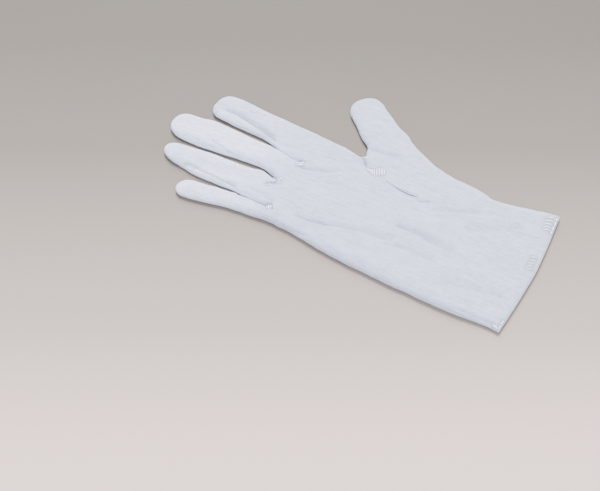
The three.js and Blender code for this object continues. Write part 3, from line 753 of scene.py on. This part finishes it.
def cotton(name, light, dark, light_tint, bump):
    """Knitted cotton: wales of small slanting loops and lint, with painted shade in creases, along
    seams and beside stitches, and painted light on the fingers.
    """
    material, tree, shader = new_material(name)
    new, link = tree.nodes.new, tree.links.new

    def maths(kind, a, b=None):
        node = new("ShaderNodeMath")
        node.operation = kind
        for i, v in enumerate((a, b)):
            if v is None:
                continue
            if isinstance(v, (int, float)):
                node.inputs[i].default_value = v
            else:
                link(v, node.inputs[i])
        return node.outputs[0]

    place = new("ShaderNodeTexCoord")
    parts = new("ShaderNodeSeparateXYZ")
    link(place.outputs["Object"], parts.inputs[0])
    # each wale is a row of small slanting loops
    wale = maths("MULTIPLY", parts.outputs[0], 1000 / WALE)
    across = maths("ABSOLUTE", maths("SUBTRACT", maths("FRACT", wale), 0.5))
    course = maths("MULTIPLY", parts.outputs[1], 1000 / COURSE)
    loop = maths("SINE", maths("MULTIPLY", maths("ADD", course, maths("MULTIPLY", across, 1.6)),
                               FULL_TURN))
    ridge = maths("SUBTRACT", 0.5, across)
    knit = maths("ADD", maths("MULTIPLY", loop, 0.22), ridge)
    lint = new("ShaderNodeTexNoise")
    lint.inputs["Scale"].default_value = 900
    lint.inputs["Detail"].default_value = 3
    link(place.outputs["Object"], lint.inputs["Vector"])
    uneven = new("ShaderNodeTexNoise")
    uneven.inputs["Scale"].default_value = 260
    uneven.inputs["Detail"].default_value = 4
    uneven.inputs["Roughness"].default_value = 0.65
    link(place.outputs["Object"], uneven.inputs["Vector"])
    streak = new("ShaderNodeTexNoise")
    streak.inputs["Scale"].default_value = 520
    streak.inputs["Detail"].default_value = 2
    stretch = new("ShaderNodeMapping")
    stretch.inputs["Scale"].default_value = (1.0, 0.16, 1.0)
    link(place.outputs["Object"], stretch.inputs["Vector"])
    link(stretch.outputs[0], streak.inputs["Vector"])
    height = maths("ADD", maths("MULTIPLY", knit, 0.6), maths("MULTIPLY", lint.outputs[0], 0.8))
    height = maths("ADD", height, maths("MULTIPLY", uneven.outputs[0], 1.6))
    height = maths("ADD", height, maths("MULTIPLY", streak.outputs[0], 1.2))
    lift = new("ShaderNodeBump")
    lift.inputs["Strength"].default_value = bump
    lift.inputs["Distance"].default_value = 0.0009
    link(height, lift.inputs["Height"])
    link(lift.outputs[0], shader.inputs["Normal"])
    ramp = new("ShaderNodeValToRGB")
    ramp.color_ramp.elements[0].position = 0.36
    ramp.color_ramp.elements[0].color = (*dark, 1)
    ramp.color_ramp.elements[1].position = 0.62
    ramp.color_ramp.elements[1].color = (*light, 1)
    tone = maths("ADD", maths("MULTIPLY", uneven.outputs[0], 0.5),
                 maths("MULTIPLY", streak.outputs[0], 0.5))
    link(tone, ramp.inputs[0])
    colour = ramp.outputs[0]
    # painted light on the fingers and painted shade in creases, along seams and beside stitches,
    # multiplied into the colour
    for mark, tint in (("clean", light_tint), ("crease", (0.5, 0.505, 0.535))):
        amount = new("ShaderNodeAttribute")
        amount.attribute_name = mark
        mix = new("ShaderNodeMix")
        mix.data_type = "RGBA"
        mix.blend_type = "MULTIPLY"
        mix.inputs[7].default_value = (*tint, 1)
        link(amount.outputs["Fac"], mix.inputs[0])
        link(colour, mix.inputs[6])
        colour = mix.outputs[2]
    link(colour, shader.inputs["Base Color"])
    shader.inputs["Roughness"].default_value = 0.95
    shader.inputs["Specular IOR Level"].default_value = 0.15
    shader.inputs["Sheen Weight"].default_value = 0.38
    shader.inputs["Sheen Roughness"].default_value = 0.35
    return material


# painted light on the fingers: their colour is multiplied by this, by each finger's share
FINGER_LIGHT_TINT = (1.35, 1.35, 1.33)
CLOTH_MATERIAL = cotton("cotton_knit", (0.517, 0.565, 0.744), (0.423, 0.467, 0.633), FINGER_LIGHT_TINT, 1.0)
# paler than the hand's cotton: painted light on the fork strips, which catch more light along the
# fingers' near sides
FORK_MATERIAL = cotton("cotton_knit_forks", (0.567, 0.613, 0.764), (0.512, 0.558, 0.72), FINGER_LIGHT_TINT, 0.9)
THREAD_MATERIAL = cotton("cotton_thread", (0.83, 0.87, 0.985), (0.79, 0.83, 0.95), (1, 1, 1), 0.3)

# The cloth pieces
top_verts, top_faces, top_part = divide(SEAM_TOP, STEP_TOP, TOP_RINGS, fold_points())
under_verts, under_faces, under_part = divide(SEAM_UNDER, STEP_UNDER, UNDER_RINGS, ())
top_faces = turned(top_verts, top_faces, True)
under_faces = turned(under_verts, under_faces, False)
up = top_verts[:, 1]


def press_seams(z, off_edge):
    """Seams and stitches draw the cloth in: the heights, the thumb's pleat and the painted shade of
    the creases.
    """
    seam_d, _ = near_line(top_verts, SEAM_TOP, closed=False)
    beside_pleat = step(76, 79, up) * (1 - step(86, 96, up))
    deep = SEAM_ALONG + SEAM_AT_PLEAT * beside_pleat + SEAM_AT_CROTCH * step(112.5, 116.5, up)
    sunk = np.maximum(0, folds(top_verts[:, 0], up))
    fine = np.exp(-(seam_d / 0.5) ** 2) * (0.25 * step(75, 79, up) * (1 - step(90, 100, up))
                                           + 0.6 * step(108, 113, up))
    sink = deep * np.exp(-(seam_d / 0.8) ** 2) * step(0.0, 3.0, off_edge)
    sunk += sink
    z = z - sink
    pleat = (step(75.5, 77.5, up) * (1 - step(92, 100, up)) * PLEAT_LIFT
             * np.exp(-(seam_d / PLEAT_REACH) ** 2))
    for (run, line), (depth, reach) in zip(FORK_SEAMS, FORK_VALLEYS):
        seam_d, _ = near_line(top_verts, line, closed=False)
        wide = np.where(inside(top_verts, band_ring(run, line)), 0.6, reach)
        first, last = line[0][1], line[-1][1]
        ends = step(first - 1, first + 6, up) * (1 - step(last - 8, last, up))
        sink = depth * ends * np.exp(-(seam_d / wide) ** 2) * step(0, 1, off_edge)
        sunk += sink
        fine = np.maximum(fine, min(1, depth / 0.7) * ends * np.exp(-(seam_d / 0.45) ** 2))
        z = z - sink
    # each stitch draws the cloth in, and a line of painted shade runs on both its sides
    for stitch_ends in sewn():
        aside = beside(top_verts, stitch_ends)
        z = z - STITCH_PULL * np.exp(-(aside / 0.8) ** 2) * step(0, 1, off_edge)
        fine = np.maximum(fine, 1.7 * np.exp(-((aside - 0.62) / 0.38) ** 2))
    # painted shade: little light reaches the bottom of creases, seams and the lines beside stitches
    shade = np.minimum(1, np.minimum(CREASE_MOST, CREASE_DARK * sunk) + LINE_DARK * fine)
    return z, pleat, shade


def cleanness():
    """Painted light on the fingers, whose tops face the light more: how far each place of the upper
    side has its finger's share.
    """
    total, clean = 1e-9, 0
    for f in FINGERS:
        axis = f["root"] * HALF - math.tan(math.radians(f["lean"])) * (up - PALM_LENGTH)
        mine = np.exp(-((top_verts[:, 0] - axis) / (0.45 * f["width"])) ** 2)
        total += mine
        clean += mine * FINGER_LIGHT[f["name"]]
    return clean / total * step(PALM_LENGTH - 8, PALM_LENGTH + 30, up)


top_z, pleat, shade = press_seams(*top_height(top_verts))
clean = cleanness()
under_z, _ = under_height(under_verts)
under_points = under_verts.copy()
under_points[:, 1] -= 0.3 * (1 - step(0, 30, under_verts[:, 1]))


def skin(index, name, wall):
    """One sewn piece of the skin, its two sides joined along the outline."""
    raised = pleat if name == "thumb" else 0.0
    tops = settle(top_verts, top_z + raised)
    unders = settle(under_points, under_z)
    verts = np.vstack([tops, unders])
    faces = np.vstack([top_faces[top_part == index], under_faces[under_part == index] + len(tops)])
    used = np.unique(faces)
    number = np.full(len(verts), -1)
    number[used] = np.arange(len(used))
    # the upper side carries the painted shade and the fingers' painted light
    obj = make_object(name + "_cloth", verts[used], number[faces], CLOTH_MATERIAL,
                      crease=np.r_[shade, np.zeros(len(unders))][used],
                      clean=np.r_[clean, np.zeros(len(unders))][used])
    thicken(obj, wall)
    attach(obj, "root")
    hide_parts(name)


def sheet_faces(rows, columns, first):
    """The faces of a sheet of points that are numbered row by row, starting at first."""
    faces = []
    for r in range(rows - 1):
        for c in range(columns - 1):
            at = first + r * columns + c
            faces.append((at, at + columns, at + columns + 1, at + 1))
    return faces


def fork_strip(run):
    """The hollow side walls of the two fingers at a slit, from upper seam to lower one."""
    edge = OUTLINE[run]
    high, _ = top_height(edge)
    low, _ = under_height(edge)
    rows = []
    for t in np.linspace(0, 1, FORK_ROWS):
        hollow = FORK_SET_IN + FORK_HOLLOW * math.sin(math.pi * t)
        shift = np.minimum(hollow, 0.1 + (high - low) * 0.9)
        rows.append(settle(edge + INWARD[run] * shift[:, None],
                           (high - 0.25) + (low + 0.15 - high + 0.25) * t))
    return rows


def fork_web(i):
    """The cloth that closes the start of a slit."""
    ys = np.linspace(fork_start(i) - 1, fork_start(i) + WEB_LENGTHS[i], WEB_POINTS)
    rows = []
    for t in np.linspace(0, 1, WEB_ROWS):
        row = []
        for y in ys:
            held_up = max(y, fork_start(i))
            x0, x1 = held_edges(i, held_up)[1], held_edges(i + 1, held_up)[0]
            row.append((x0 - 0.5 + (x1 - x0 + 1.0) * t, y))
        fall = 1.3 - 0.4 * math.sin(math.pi * t) - 0.6 * step(ys[0], ys[-1], ys)
        rows.append(settle(np.array(row), fall))
    return rows


def fork(i, name):
    """One fork: the strip in its slit, the web at the slit's start and the band that shows."""
    run = np.where(EDGE_TAG == i)[0]
    strip = FORK_ROWS * len(run)
    web = WEB_ROWS * WEB_POINTS
    band = top_faces[top_part == FIRST_BAND + i]
    used = np.unique(band)
    number = np.full(len(top_verts), -1)
    number[used] = np.arange(len(used)) + strip + web
    verts = np.vstack(fork_strip(run) + fork_web(i) + [settle(top_verts[used], top_z[used])])
    faces = sheet_faces(FORK_ROWS, len(run), 0)
    faces += [face[:1] + face[:0:-1] for face in sheet_faces(WEB_ROWS, WEB_POINTS, strip)]
    # painted shade: full on the web, deep in the start of the slit, and six tenths of the upper
    # side's on the band
    obj = make_object(name + "_cloth", verts, faces + number[band].tolist(), FORK_MATERIAL,
                      crease=np.r_[np.zeros(strip), np.ones(web), 0.6 * shade[used]],
                      clean=np.r_[np.zeros(strip + web), clean[used]])
    solid = obj.modifiers.new("solid", "SOLIDIFY")
    solid.thickness = FORK_SHEET / 1000
    solid.offset = -1
    apply_modifiers(obj)
    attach(obj, "root")
    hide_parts(name)


for index, (name, wall) in enumerate((("hand", CLOTH), ("thumb", CLOTH), ("cuff_hem", HEM_WALL))):
    skin(index, name, wall)
for i, row in enumerate(FORKS):
    fork(i, row[0])

# Stitches
def thread(points, radius, verts, faces):
    """A round thread along points in metres, added to verts and faces."""
    ring = THREAD_SIDES
    base = len(verts)
    points = np.array(points)
    for i, p in enumerate(points):
        ahead = points[min(i + 1, len(points) - 1)] - points[max(i - 1, 0)]
        ahead /= np.linalg.norm(ahead)
        aside = np.cross(ahead, (0, 0, 1.0))
        aside /= max(1e-9, np.linalg.norm(aside))
        above = np.cross(aside, ahead)
        slim = THREAD_END if i in (0, len(points) - 1) else 1.0
        for j in range(ring):
            a = 2 * math.pi * j / ring
            verts.append(p + radius * slim * (math.cos(a) * aside + math.sin(a) * above))
    for i in range(len(points) - 1):
        for j in range(ring):
            k = (j + 1) % ring
            faces.append((base + i * ring + j, base + i * ring + k,
                          base + (i + 1) * ring + k, base + (i + 1) * ring + j))
    last = base + (len(points) - 1) * ring
    faces.append(tuple(base + j for j in range(ring))[::-1])
    faces.append(tuple(last + j for j in range(ring)))


def stitch(ax, ay, bx, by):
    """The middle line of one stitch over the upper side from a to b, bowed up between its ends."""
    t = np.linspace(0, 1, STITCH_POINTS)
    flat = np.stack([ax + (bx - ax) * t, ay + (by - ay) * t], 1)
    z, _ = top_height(flat)
    return settle(flat, z + STITCH_RISE * np.sin(math.pi * t) - STITCH_SINK)


def sew(name, radius, strokes):
    """One group of stitches as one piece."""
    verts, faces = [], []
    for stroke in strokes:
        thread(stitch(*stroke), radius, verts, faces)
    obj = make_object(name, verts, faces, THREAD_MATERIAL)
    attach(obj, "root")


for name, (radius, strokes) in SEWING.items():
    sew(name, radius, strokes)

# Table, light and camera
def table():
    """A pale table with painted light, lightest where it is nearest to the camera."""
    material, tree, shader = new_material("pale_table")
    new, link = tree.nodes.new, tree.links.new
    coords = new("ShaderNodeTexCoord")
    turn = new("ShaderNodeVectorRotate")
    turn.rotation_type = "Z_AXIS"
    turn.inputs["Angle"].default_value = math.radians(TABLE_TURN)
    parts = new("ShaderNodeSeparateXYZ")
    span = new("ShaderNodeMapRange")
    span.inputs["From Min"].default_value = TABLE_SPAN[0]
    span.inputs["From Max"].default_value = TABLE_SPAN[1]
    ramp = new("ShaderNodeValToRGB")
    ramp.color_ramp.elements[0].color = (*TABLE_TONES[0][1], 1)
    ramp.color_ramp.elements[1].color = (*TABLE_TONES[-1][1], 1)
    for at, tone in TABLE_TONES[1:-1]:
        ramp.color_ramp.elements.new(at).color = (*tone, 1)
    link(coords.outputs["Object"], turn.inputs["Vector"])
    link(turn.outputs[0], parts.inputs[0])
    link(parts.outputs[0], span.inputs["Value"])
    link(span.outputs[0], ramp.inputs[0])
    link(ramp.outputs[0], shader.inputs["Base Color"])
    shader.inputs["Roughness"].default_value = 0.8
    shader.inputs["Specular IOR Level"].default_value = 0.2
    corners = [(-3, -3, 0), (3, -3, 0), (3, 3, 0), (-3, 3, 0)]
    floor = make_object("table_top", corners, [(0, 1, 2, 3)], material, smooth=False)


def room():
    """The soft light from all round."""
    world = bpy.data.worlds.new("soft_room")
    bpy.context.scene.world = world
    world.use_nodes = True
    back = world.node_tree.nodes["Background"]
    back.inputs["Color"].default_value = ROOM_COLOUR
    back.inputs["Strength"].default_value = ROOM_STRENGTH


def facing(obj, place, aim):
    """Puts a light or camera at its place, turned to what it faces."""
    obj.location = place
    obj.rotation_euler = (Vector(aim) - Vector(place)).to_track_quat("-Z", "Y").to_euler()
    bpy.context.scene.collection.objects.link(obj)


def area_light(name, place, size, power, colour):
    """A square light that faces the glove."""
    data = bpy.data.lights.new(name, "AREA")
    data.shape = "SQUARE"
    data.size = size
    data.energy = power
    data.color = colour
    facing(bpy.data.objects.new(name, data), place, (0, 0, 0))


def camera():
    """The view of the photograph."""
    data = bpy.data.cameras.new("camera")
    data.lens = CAMERA_LENS
    data.sensor_width = CAMERA_SENSOR
    obj = bpy.data.objects.new("camera", data)
    facing(obj, CAMERA_PLACE, CAMERA_AIM)
    bpy.context.scene.camera = obj


table()
room()
for name, (place, size, power, colour) in LIGHTS.items():
    area_light(name, place, size, power, colour)
camera()
